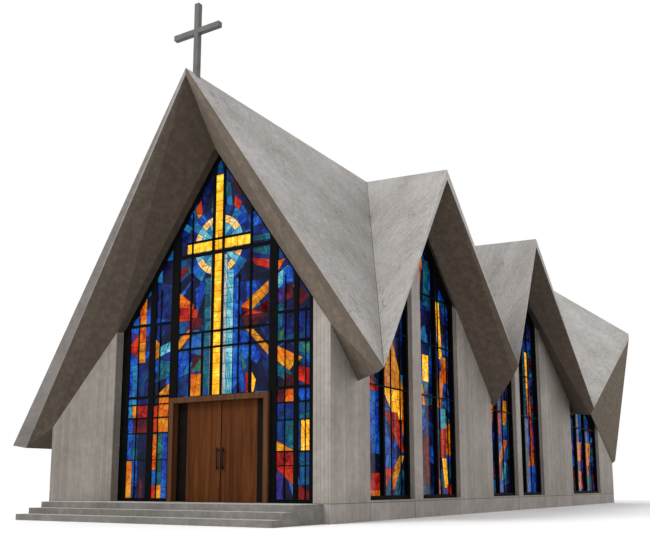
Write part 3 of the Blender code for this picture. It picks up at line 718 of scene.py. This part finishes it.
# Bands and fields of the front window, from the door head up, then the lights beside the doors.
FRONT_FIELDS = (
    # Sheaves of warm glass that spread down and out from the halo
    ("orange", [(-1.66, 6.92), (-0.92, 6.38), (-1.02, 6.05), (-1.62, 6.42)]),
    ("red", [(-1.60, 6.36), (-0.74, 6.20), (-0.82, 5.90), (-1.50, 5.90)]),
    ("wine", [(-1.04, 5.98), (-0.62, 5.94), (-0.65, 5.58), (-1.06, 5.62)]),
    ("wine", [(-1.70, 7.10), (-1.60, 7.50), (-1.23, 7.66), (-1.22, 7.44)]),
    ("amber", [(-1.64, 5.24), (-1.08, 5.66), (-1.07, 5.40), (-1.62, 4.88)]),
    ("amber", [(0.82, 6.15), (1.82, 6.80), (1.82, 6.44), (1.23, 5.99)]),
    ("orange", [(0.84, 6.16), (1.24, 6.40), (1.24, 6.00), (0.98, 5.98)]),
    ("red", [(0.84, 6.12), (1.25, 5.99), (1.84, 6.24), (1.84, 5.86), (0.88, 5.84)]),
    ("wine", [(0.90, 5.82), (1.84, 5.84), (1.31, 5.48), (1.08, 5.48)]),
    ("red", [(1.16, 7.56), (1.84, 7.42), (1.84, 7.14), (1.34, 7.32)]),
    ("amber", [(1.02, 5.45), (1.31, 5.42), (1.84, 4.90), (1.84, 4.62)]),
    ("blue", [(0.80, 5.42), (1.06, 5.40), (1.60, 4.60), (1.42, 4.40), (0.90, 4.80)]),
    ("blue", [(-1.60, 4.86), (-1.08, 5.30), (-1.02, 4.70), (-1.60, 4.00)]),
    ("sky", [(-1.00, 5.40), (-0.62, 5.50), (-0.62, 4.80), (-1.00, 4.90)]),
    ("green", [(-0.98, 4.32), (-0.62, 4.76), (-0.61, 4.34)]),
    ("green", [(0.84, 4.84), (1.10, 4.34), (0.94, 4.24)]),
    ("orange", rectangle(-0.99, 3.60, -0.57, 4.26)),
    ("red", rectangle(1.05, 3.60, 1.14, 4.18)),
    ("gold", [(1.26, 3.60), (1.34, 3.60), (1.42, 3.95), (1.26, 4.20)]),
    # The flames over the halo
    ("deep", [(-0.80, 9.25), (-0.05, 10.85), (0.05, 10.85), (0.80, 9.25)]),
    ("navy", [(-0.62, 9.25), (-0.34, 9.25), (-0.20, 10.35), (-0.26, 10.35)]),
    ("teal", [(-0.34, 9.25), (-0.18, 9.25), (-0.18, 10.30), (-0.22, 10.30)]),
    ("teal", [(-0.14, 10.36), (0.10, 10.36), (0.02, 10.80), (-0.06, 10.80)]),
    ("navy", [(0.44, 9.25), (0.62, 9.25), (0.34, 10.00), (0.30, 10.00)]),
    ("blue", [(0.62, 8.90), (0.96, 8.70), (1.05, 8.95), (0.84, 9.25)]),
    ("blue", [(-0.66, 8.90), (-0.98, 8.70), (-1.05, 8.95), (-0.86, 9.25)]),
    ("orange", [(-0.72, 9.20), (-0.66, 8.98), (-0.80, 8.98), (-0.92, 9.22)]),
    ("red", [(-0.74, 9.66), (-0.68, 9.20), (-0.92, 9.22), (-0.97, 9.38)]),
    ("red", [(0.56, 9.58), (0.82, 9.33), (0.68, 8.95), (0.48, 9.10)]),
    ("sky", [(0.24, 9.60), (0.44, 9.60), (0.50, 9.10), (0.24, 9.20)]),
    ("teal", [(0.20, 10.10), (0.38, 10.00), (0.46, 9.60), (0.20, 9.60)]),
    # Outer left light
    ("orange", rectangle(-3.12, 5.40, -2.84, 7.10)),
    ("amber", rectangle(-3.12, 4.75, -2.84, 5.40)),
    ("red", [(-3.55, 5.30), (-3.16, 5.66), (-3.14, 4.92), (-3.55, 5.10)]),
    ("blue", [(-3.50, 5.15), (-3.16, 4.90), (-3.16, 3.45), (-3.50, 3.45)]),
    ("sky", rectangle(-3.36, 3.45, -3.14, 4.70)),
    ("deep", rectangle(-3.12, 3.45, -2.70, 4.75)),
    ("sky", rectangle(-3.50, 3.04, -3.30, 3.42)),
    ("amber", rectangle(-3.30, 3.04, -3.09, 3.42)),
    ("red", rectangle(-3.09, 3.04, -2.66, 3.42)),
    ("wine", rectangle(-3.28, 2.57, -2.66, 3.04)),
    ("blue", rectangle(-3.50, 1.73, -3.25, 3.04)),
    ("teal", rectangle(-3.25, 1.75, -3.05, 2.57)),
    ("blue", rectangle(-3.25, 0.95, -3.02, 1.75)),
    ("amber", rectangle(-3.50, 0.55, -3.24, 1.73)),
    ("navy", rectangle(-3.02, 0.55, -2.60, 2.57)),
    ("wine", rectangle(-2.92, 0.55, -2.78, 1.20)),
    # Inner left light
    ("amber", [(-2.48, 5.50), (-2.24, 5.28), (-2.28, 4.86), (-2.48, 4.76)]),
    ("cyan", [(-2.30, 5.18), (-1.76, 5.36), (-1.76, 5.04), (-2.26, 4.88)]),
    ("teal", [(-2.30, 4.86), (-1.76, 4.60), (-1.76, 4.30), (-2.30, 4.10)]),
    ("red", rectangle(-2.48, 2.55, -2.24, 3.38)),
    ("amber", [(-2.24, 2.56), (-1.76, 2.56), (-1.76, 4.10), (-2.24, 3.76)]),
    ("green", rectangle(-2.22, 1.41, -2.04, 2.52)),
    ("orange", rectangle(-2.46, 1.44, -2.22, 2.52)),
    ("blue", rectangle(-2.04, 0.55, -1.70, 2.52)),
    ("blue", rectangle(-2.46, 1.00, -2.22, 1.44)),
    ("teal", rectangle(-2.22, 1.00, -2.04, 1.41)),
    ("red", rectangle(-2.46, 0.55, -2.22, 1.00)),
    ("amber", rectangle(-2.22, 0.55, -2.04, 1.00)),
    # Inner right light
    ("orange", [(2.06, 7.34), (2.40, 7.36), (2.10, 6.95)]),
    ("cyan", [(2.10, 6.95), (2.50, 7.16), (2.33, 6.60), (2.10, 6.48)]),
    ("blue", [(2.33, 7.05), (2.66, 7.20), (2.66, 6.60), (2.33, 6.60)]),
    ("purple", [(2.10, 6.48), (2.40, 6.52), (2.44, 6.14), (2.10, 6.04)]),
    ("wine", [(2.40, 6.60), (2.66, 6.66), (2.66, 6.20), (2.44, 6.14)]),
    ("teal", [(2.10, 6.04), (2.36, 6.12), (2.30, 5.40), (2.10, 5.30)]),
    ("green", [(2.10, 5.20), (2.36, 5.36), (2.36, 5.00), (2.10, 5.00)]),
    ("amber", [(2.08, 4.90), (2.74, 4.58), (2.68, 4.25), (2.54, 4.12), (2.10, 4.46)]),
    ("teal", [(2.10, 4.40), (2.42, 4.20), (2.40, 3.88), (2.16, 4.02)]),
    ("orange", rectangle(2.40, 3.25, 2.76, 3.62)),
    ("wine", rectangle(2.08, 3.25, 2.40, 3.62)),
    ("deep", rectangle(2.08, 1.90, 2.76, 3.25)),
    ("teal", rectangle(2.42, 1.90, 2.76, 2.75)),
    ("amber", [(2.08, 2.24), (2.74, 1.92), (2.08, 1.90)]),
    ("red", [(2.08, 1.90), (2.76, 1.90), (2.76, 0.94), (2.08, 1.50)]),
    ("purple", [(2.08, 1.48), (2.40, 1.24), (2.30, 0.55), (2.08, 0.55)]),
    # Outer right light
    ("wine", [(2.78, 6.70), (3.20, 6.17), (2.84, 5.87)]),
    ("deep", rectangle(2.80, 4.96, 3.30, 5.80)),
    ("green", [(2.80, 4.92), (3.30, 4.90), (3.30, 4.50), (2.80, 4.66)]),
    ("orange", [(2.80, 4.56), (3.00, 4.47), (2.82, 4.33)]),
    ("red", [(2.80, 4.26), (3.34, 4.14), (3.34, 3.62), (2.84, 3.85)]),
    ("teal", rectangle(2.90, 2.75, 3.34, 3.25)),
    ("gold", rectangle(2.95, 1.90, 3.34, 2.75)),
    ("teal", rectangle(2.92, 1.00, 3.34, 1.90)),
    ("wine", [(2.86, 1.00), (3.34, 0.80), (3.34, 0.55), (2.86, 0.55)]),
)


def ring_sector(begin, end, inner, outer):
    corners = []
    for angle, radius in ((begin, inner), (end, inner), (end, outer), (begin, outer)):
        corner = HALO + radius * Vector((math.cos(angle), math.sin(angle)))
        if not corners or (corner - corners[-1]).length > 0.01:
            corners.append(corner)
    return corners


# Strips of pale glass that run down beside the cross: glass, left, right and head
FRONT_STRIPS = (
    ("teal", -0.52, -0.30, 7.15),
    ("pearl", -0.30, -0.22, 7.80),
    ("pearl", 0.19, 0.32, 7.80),
    ("cyan", 0.32, 0.56, 7.30),
    ("blue", 0.58, 0.74, 7.00),
)


def front_window():
    """The whole front design: blue shards, warm sheaves, the halo and the gold cross."""
    rng = random.Random(FRONT_SEED)
    region = region_of([(p.x, p.z) for p in corners_of("front_window_frame")])
    cells = [(region, "deep")]
    for x in MULLIONS_X:
        cells = cut(cells, Vector((x, 0)), Vector((1, 0)))
    for z in TRANSOMS_Z:
        cells = cut(cells, Vector((0, z)), Vector((0, 1)))
    cells = random_shards(shatter(cells, rng, FRONT_AREA, {}, HALO), rng)
    for glass, shape in FRONT_FIELDS:
        cells = paint(cells, shape, glass, region)
    step = 2 * math.pi / HALO_RAYS
    for ring, (inner, outer) in enumerate(zip((0.0,) + HALO_RINGS, HALO_RINGS)):
        for ray in range(HALO_RAYS):
            shape = ring_sector(ray * step, (ray + 1) * step, inner, outer)
            choice = HALO_GLASS[ring]
            cells = paint(cells, shape, choice[(ray * 5 + ring) % len(choice)], region)
    foot, head = CROSS_Z
    for glass, left, right, top in FRONT_STRIPS:
        for low, high in stretches(foot, top, STRIP_PANE):
            cells = paint(cells, rectangle(left, low, right, high), glass, region)
    for low, high in stretches(foot, head, CROSS_PANE):
        shaft = rectangle(CROSS_X - CROSS_HALF, low, CROSS_X + CROSS_HALF, high)
        cells = paint(cells, shaft, "gold", region)
    for left, right in stretches(*ARM_X, ARM_PANE):
        cells = paint(cells, rectangle(left, ARM_Z[0], right, ARM_Z[1]), "gold", region)
    left, right = portal[0][0] + DOOR_INSET, portal[1][0] - DOOR_INSET
    door = rectangle(left, 0.0, right, DOOR_HEAD - DOOR_INSET)
    cells = shatter(paint(cells, door, None), rng, PANE_AREA, SMALL_AREAS, HALO)
    face = front[0][1] + FRONT_SETBACK

    def place(across, up, depth):
        return across, face + depth, up

    lay_glass("front_window", cells, place)


# Designs of the flank lights: glass, then across from and to as shares, then up from and to in metres.
# A share pair that differs between foot and head leans the band.
FLANK_FIELDS = (
    (
        ("teal", 0.02, 0.20, 0.02, 0.16, 1.9, 3.9),
        ("blue", 0.20, 0.42, 0.16, 0.34, 1.9, 3.9),
        ("navy", 0.02, 0.42, 0.02, 0.42, 1.3, 1.9),
        ("red", 0.02, 0.42, 0.02, 0.42, 0.85, 1.35),
        ("orange", 0.02, 0.42, 0.02, 0.42, 0.6, 0.85),
        ("wine", 0.02, 0.30, 0.02, 0.30, 3.95, 4.3),
        ("red", 0.02, 0.42, 0.02, 0.24, 3.75, 4.10),
        ("green", 0.45, 0.62, 0.64, 0.66, 4.0, 5.1),
        ("amber", 0.45, 0.97, 0.66, 0.72, 3.95, 5.4),
        ("gold", 0.74, 0.92, 0.45, 0.92, 3.0, 3.95),
        ("orange", 0.92, 0.98, 0.92, 0.98, 2.5, 3.9),
        ("red", 0.90, 0.97, 0.48, 0.82, 2.0, 3.2),
        ("blue", 0.44, 0.80, 0.44, 0.48, 1.5, 3.2),
        ("amber", 0.45, 0.72, 0.86, 0.97, 0.85, 1.9),
        ("red", 0.44, 0.52, 0.44, 0.74, 0.7, 1.5),
        ("teal", 0.44, 0.62, 0.62, 0.66, 0.6, 1.2),
    ),
    (
        ("amber", 0.02, 0.22, 0.02, 0.22, 5.9, 6.7),
        ("red", 0.02, 0.22, 0.02, 0.22, 5.3, 5.7),
        ("gold", 0.24, 0.40, 0.24, 0.40, 4.4, 5.3),
        ("amber", 0.02, 0.30, 0.02, 0.24, 3.6, 4.3),
        ("orange", 0.02, 0.20, 0.20, 0.30, 7.5, 8.6),
        ("teal", 0.28, 0.44, 0.32, 0.44, 7.0, 8.6),
        ("amber", 0.02, 0.18, 0.02, 0.18, 6.9, 7.4),
        ("gold", 0.66, 0.78, 0.62, 0.72, 5.3, 7.3),
        ("amber", 0.60, 0.72, 0.72, 0.84, 3.6, 4.9),
        ("orange", 0.74, 0.92, 0.74, 0.92, 4.5, 5.4),
        ("wine", 0.54, 0.66, 0.54, 0.62, 4.0, 6.0),
        ("cyan", 0.70, 0.84, 0.70, 0.84, 2.9, 3.6),
        ("red", 0.66, 0.80, 0.70, 0.90, 1.9, 2.9),
        ("orange", 0.84, 0.96, 0.84, 0.96, 2.0, 3.1),
        ("gold", 0.78, 0.88, 0.72, 0.84, 0.9, 1.9),
        ("purple", 0.54, 0.66, 0.54, 0.62, 1.3, 2.4),
        ("wine", 0.10, 0.40, 0.10, 0.40, 1.0, 2.6),
        ("orange", 0.56, 0.66, 0.60, 0.66, 0.6, 1.2),
        ("red", 0.84, 0.97, 0.84, 0.97, 0.6, 1.0),
    ),
    (
        ("orange", 0.10, 0.30, 0.20, 0.42, 3.4, 4.6),
        ("red", 0.44, 0.62, 0.50, 0.66, 3.0, 3.9),
        ("amber", 0.70, 0.84, 0.76, 0.94, 3.4, 4.4),
        ("orange", 0.40, 0.52, 0.72, 0.90, 1.6, 2.8),
        ("wine", 0.05, 0.34, 0.05, 0.34, 1.2, 1.7),
        ("red", 0.42, 0.54, 0.42, 0.62, 1.2, 1.7),
        ("amber", 0.02, 0.16, 0.02, 0.16, 0.6, 1.9),
        ("cyan", 0.60, 0.74, 0.70, 0.80, 1.2, 1.9),
        ("blue", 0.44, 0.72, 0.44, 0.70, 0.7, 1.2),
    ),
    (
        ("amber", 0.02, 0.24, 0.02, 0.24, 2.4, 3.4),
        ("wine", 0.02, 0.24, 0.02, 0.24, 1.7, 2.4),
        ("gold", 0.60, 0.74, 0.58, 0.72, 5.2, 6.8),
        ("orange", 0.64, 0.80, 0.60, 0.74, 4.0, 5.2),
        ("red", 0.72, 0.86, 0.66, 0.82, 2.4, 4.0),
        ("orange", 0.58, 0.84, 0.70, 0.86, 1.8, 2.4),
        ("amber", 0.02, 0.22, 0.02, 0.20, 0.6, 1.4),
        ("teal", 0.44, 0.56, 0.44, 0.54, 2.4, 7.0),
        ("blue", 0.50, 0.90, 0.60, 0.90, 0.6, 1.8),
    ),
    (
        ("orange", 0.04, 0.16, 0.10, 0.24, 2.2, 3.0),
        ("wine", 0.04, 0.26, 0.04, 0.22, 0.7, 2.0),
        ("amber", 0.34, 0.50, 0.36, 0.54, 2.2, 3.2),
        ("orange", 0.36, 0.52, 0.34, 0.50, 0.8, 1.7),
        ("purple", 0.34, 0.52, 0.34, 0.52, 1.7, 2.2),
        ("amber", 0.66, 0.80, 0.70, 0.92, 2.0, 3.2),
        ("teal", 0.66, 0.92, 0.66, 0.92, 1.0, 1.5),
        ("red", 0.66, 0.78, 0.66, 0.78, 1.5, 2.0),
    ),
)


def flank_window(word, number):
    """One light of a flank: leaning bands of warm glass over blue shards, leaded."""
    node = f"window_frame_{word}_{number}"
    low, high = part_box(node)
    rng = random.Random(FLANK_SEED + number)
    region = region_of([(p.y, p.z) for p in corners_of(node)])
    cells = random_shards(shatter([(region, "deep")], rng, FLANK_AREA, {}), rng)
    wide = high[1] - low[1]
    for glass, foot_left, foot_right, head_left, head_right, foot, head in FLANK_FIELDS[number - 1]:
        shape = [(foot_left, foot), (foot_right, foot), (head_right, head), (head_left, head)]
        cells = paint(cells, [(low[1] + share * wide, z) for share, z in shape], glass, region)
    cells = shatter(cells, rng, PANE_AREA, SMALL_AREAS)
    inward = -1 if word == "right" else 1
    face = low[0] + FLANK_SETBACK if word == "right" else high[0] - FLANK_SETBACK

    def place(across, up, depth):
        return face + inward * depth, across, up

    lay_glass(f"flank_window_{word}_{number}", cells, place)


def head_line(node):
    """The frame's top edge, as (along the wall, height) pairs in order."""
    top = {}
    for corner in corners_of(node):
        along = round(corner.y, 3)
        top[along] = max(top.get(along, 0), corner.z)
    return sorted(top.items())


def head_at(line, y):
    """How high the top edge is at a place along the wall."""
    for (a, a_height), (b, b_height) in zip(line, line[1:]):
        if a <= y <= b:
            return a_height + (b_height - a_height) * (y - a) / max(b - a, 1e-6)
    return line[-1][1]


def flank_bars(word):
    """Steel cross bars and slim uprights that stiffen the tall flank lights."""
    bars = Mesh()
    for number in FLANK_LIGHTS:
        node = f"window_frame_{word}_{number}"
        low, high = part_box(node)
        line = head_line(node)
        outer, inward = (high[0], -1) if word == "right" else (low[0], 1)
        near, far = sorted(outer + inward * depth for depth in FLANK_BAR_DEPTH)
        for level in FLANK_LEVELS:
            places = [y for y, _ in stretches(low[1] + BAR_INSET, high[1] - BAR_INSET, BAR_STEP)]
            places = [y for y in places if head_at(line, y) > level + BAR_CLEAR]
            if len(places) > FEWEST_STEPS:
                foot, top = level - CROSS_BAR_HALF, level + CROSS_BAR_HALF
                bars.box((near, places[0], foot), (far, places[-1], top))
        for share in FLANK_UPRIGHTS:
            y = low[1] + share * (high[1] - low[1])
            foot, top = low[2] + UPRIGHT_ENDS[0], head_at(line, y) - UPRIGHT_ENDS[1]
            bars.box((near, y - UPRIGHT_HALF, foot), (far, y + UPRIGHT_HALF, top))
    bars.piece(f"flank_bars_{word}", [STEEL], "black_steel")


def under_slope(x):
    """The height where the front frame's sloping heads pass over a place."""
    return FRAME_APEX - abs(x) * FRAME_SLOPE


# Slim uprights of the front: centre, width, foot and head
FRONT_UPRIGHTS = (
    (CROSS_X - CROSS_HALF - 0.045, 0.09, DOOR_HEAD, under_slope(0.20)),
    (CROSS_X + CROSS_HALF + 0.040, 0.08, DOOR_HEAD, under_slope(0.20)),
    (1.20, 0.07, DOOR_HEAD, under_slope(1.20) - 0.05),
    (-1.03, 0.045, DOOR_HEAD, under_slope(1.03) - 0.10),
    (-0.56, 0.03, DOOR_HEAD, 5.50),
    (0.78, 0.03, DOOR_HEAD, 7.10),
    (-3.11, 0.022, 0.6, 6.2),
    (-2.23, 0.022, 0.6, 7.0),
    (2.42, 0.022, 0.6, 6.9),
    (3.10, 0.022, 0.6, 5.9),
)
# Rails: left end, right end, height of the centre and depth of the bar
FRONT_RAILS = (
    (-1.55, 1.95, 5.50, 0.06),
    (-1.55, 1.95, 5.02, 0.06),
    (ARM_X[0] - 0.02, ARM_X[1] + 0.02, ARM_Z[1] + 0.03, 0.06),
    (-1.55, 1.95, ARM_Z[0] - 0.05, 0.05),
    (-3.50, -1.70, 3.43, 0.035),
    (-3.50, -1.70, 3.02, 0.045),
    (-3.50, -1.70, 2.56, 0.035),
    (-3.50, -1.70, 1.75, 0.02),
    (2.05, 3.30, 3.25, 0.035),
    (2.05, 3.30, 2.76, 0.035),
    (2.05, 3.30, 1.90, 0.04),
    (2.05, 3.30, 1.52, 0.025),
)


def front_bars():
    """Slim steel bars of the front: beside and across the gold cross, and through each light."""
    bars = Mesh()
    near, far = (front[0][1] + depth for depth in FRONT_BAR_DEPTH)
    for x, wide, foot, head in FRONT_UPRIGHTS:
        bars.box((x - wide / 2, near, foot), (x + wide / 2, far, head))
    for left, right, z, tall in FRONT_RAILS:
        bars.box((left, near, z - tall / 2), (right, far, z + tall / 2))
    bars.piece("front_glazing_bars", [STEEL], "black_steel")


def plinth_joints_and_shadow_lines():
    """Painted shadow lines at the foot of each wall, and dark joints where the plinth was cast in lengths.
    """
    low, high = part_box("base_and_floor")
    joints = Mesh()
    top = high[2]
    # Painted shadow: a dark strip along the foot of the flank and rear walls.
    foot, head = top - FOOT_SHADOW_LINE[0], top + FOOT_SHADOW_LINE[1]
    for face, out in ((high[0], 1), (low[0], -1)):
        a, b = sorted((face - out * DARK_LINE_BITE, face + out * DARK_LINE_PROUD))
        joints.box((a, low[1] - DARK_LINE_PROUD, foot), (b, high[1] + DARK_LINE_PROUD, head))
        for y in PLINTH_JOINTS:
            joints.box((a, y - JOINT_WIDE / 2, 0.0), (b, y + JOINT_WIDE / 2, top))
    joints.box((low[0], high[1] - DARK_LINE_BITE, foot), (high[0], high[1] + DARK_LINE_PROUD, head))
    # Painted shadow: a dark strip along the foot of the front walls.
    foot, head = (top + up for up in FRONT_SHADOW_LINE)
    for left, right in ((low[0], front[0][0]), (front[1][0], high[0])):
        joints.box((left, low[1] - DARK_LINE_PROUD, foot), (right, low[1] + DARK_LINE_BITE, head))
    joints.piece("plinth_joints_and_shadow_lines", [JOINT_AND_SHADOW_LINE], "base_concrete")


def door_fittings():
    """A steel threshold under the leaves, and a black seal up the meeting edge of each leaf."""
    left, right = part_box("door_leaf_left"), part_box("door_leaf_right")
    floor_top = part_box("base_and_floor")[1][2]
    sill = Mesh()
    sill.box(
        (left[0][0], portal[0][1] + THRESHOLD_INSET, floor_top),
        (right[1][0], left[0][1] - FITTING_GAP, left[0][2] - SWING_GAP),
    )
    sill.piece("door_threshold", [HANDLE], "handle_steel")
    for word, leaf, edge, into in (("left", left, left[1][0], -1), ("right", right, right[0][0], 1)):
        low, high = leaf
        a, b = sorted((edge, edge + into * SEAL_WIDE))
        seal = Mesh()
        foot, head = low[2] + FITTING_GAP, high[2] - FITTING_GAP
        seal.box((a, low[1] - SEAL_PROUD, foot), (b, low[1] + SEAL_LET_IN, head))
        seal.piece(f"meeting_seal_{word}", [STEEL], "black_steel", f"door_{word}")


def rearmost(point):
    """Sorts points front to back, and by height where they are level."""
    return round(point.y, 2), point.z


def how_far_out(point):
    return abs(point.x)


def valley_joints():
    """A dark joint down each valley of the roof, where one folded bay was cast against the next."""
    joints = Mesh()
    for word in ("left", "right"):
        for name in ("roof_front_plate", "roof_fold_front", "roof_fold_middle"):
            corners = corners_of(f"{name}_{word}")
            reach = max(abs(p.x) for p in corners)
            outer = [p for p in corners if abs(p.x) > 0.96 * reach]
            tip = max(outer, key=rearmost if "fold" in name else how_far_out)
            ridge = max((p for p in corners if abs(p.x) < 0.01), key=rearmost)
            joints.rod(ridge, tip.lerp(ridge, 0.01), VALLEY_ROD)
    joints.piece("valley_joints", [JOINT_AND_SHADOW_LINE], "roof_concrete")


def front_edge(word, skin):
    """The cast edge of a front plate: the narrow face between its top and its soffit."""
    corners = corners_of(f"roof_front_plate_{word}")
    foremost = min(p.y for p in corners)
    ends = sorted((p for p in corners if p.y < foremost + 0.01), key=lambda p: p.z)
    tip = max(corners, key=how_far_out)
    under = min((p for p in corners if (p - tip).length > 0.02), key=lambda p: (p - tip).length)
    cover = Mesh()
    for triangle in ((ends[-1], tip, under), (ends[-1], under, ends[0])):
        a, b, c = triangle
        normal = (b - a).cross(c - a).normalized()
        if normal.y > 0:
            normal.negate()
        cover.prism([p - normal * EDGE_COVER for p in triangle], [p + normal * EDGE_COVER for p in triangle])
    cover.piece(f"front_edge_{word}", [skin], "roof_concrete")


# Each node takes the material of the first word here that its name holds, and else the flank's
NODE_SKINS = (
    ("front_plate_left", ROOF_SHADED_LEFT),
    ("front_plate_right", ROOF_LIT_RIGHT),
    ("roof", ROOF),
    ("base_and_floor", PLINTH),
    ("landing", STEP),
    ("step", STEP),
    ("window_frame", STEEL),
    ("glass", GLASS["navy"]),
    ("door_leaf", DOOR),
    ("door_portal", FRAME_TIMBER),
    ("door_side_panel", PANEL),
    ("door_handle", HANDLE),
    ("ridge_cross", CROSS),
    ("front_wall_left", WALL_SHADED),
)
for name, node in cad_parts.items():
    found = [skin for word, skin in NODE_SKINS if word in name]
    for slot in node.material_slots:
        slot.material = found[0] if found else FLANK_LIT

front_edge("left", EDGE_LEFT)
front_edge("right", EDGE_SHADED_RIGHT)
valley_joints()
front_window()
front_bars()
for side in ("right", "left"):
    for light in FLANK_LIGHTS:
        flank_window(side, light)
for side in ("right", "left"):
    flank_bars(side)
plinth_joints_and_shadow_lines()
door_fittings()

# Floor, light and camera
ground = Mesh()
ground.face([(x * GROUND_REACH, y * GROUND_REACH, GROUND_Z) for x, y in rectangle(-1, -1, 1, 1)])
ground.made("floor", [pale_floor()])

scene = bpy.context.scene
scene.view_settings.view_transform = "Standard"
scene.view_settings.look = "None"

world = bpy.data.worlds.new("studio")
world.use_nodes = True
sky = world.node_tree.nodes["Background"]
sky.inputs["Color"].default_value = (1.0, 1.0, 1.0, 1.0)
sky.inputs["Strength"].default_value = 1.0
scene.world = world

sun_data = bpy.data.lights.new("soft_key", "SUN")
sun_data.energy = SUN_STRENGTH
sun_data.angle = math.radians(SUN_WIDTH)
sun = bpy.data.objects.new("soft_key", sun_data)
sun.rotation_euler = [math.radians(angle) for angle in SUN_TURN]
scene.collection.objects.link(sun)

camera_data = bpy.data.cameras.new("camera")
camera_data.lens = CAMERA_LENS
camera_data.sensor_width = CAMERA_SENSOR
camera_data.sensor_fit = "HORIZONTAL"
camera_data.shift_y = CAMERA_SHIFT
camera_data.clip_end = CAMERA_REACH
camera = bpy.data.objects.new("camera", camera_data)
camera.location = CAMERA_PLACE
camera.rotation_euler = (math.radians(90 + CAMERA_TILT_UP), 0.0, math.radians(CAMERA_TURN))
scene.collection.objects.link(camera)
scene.camera = camera
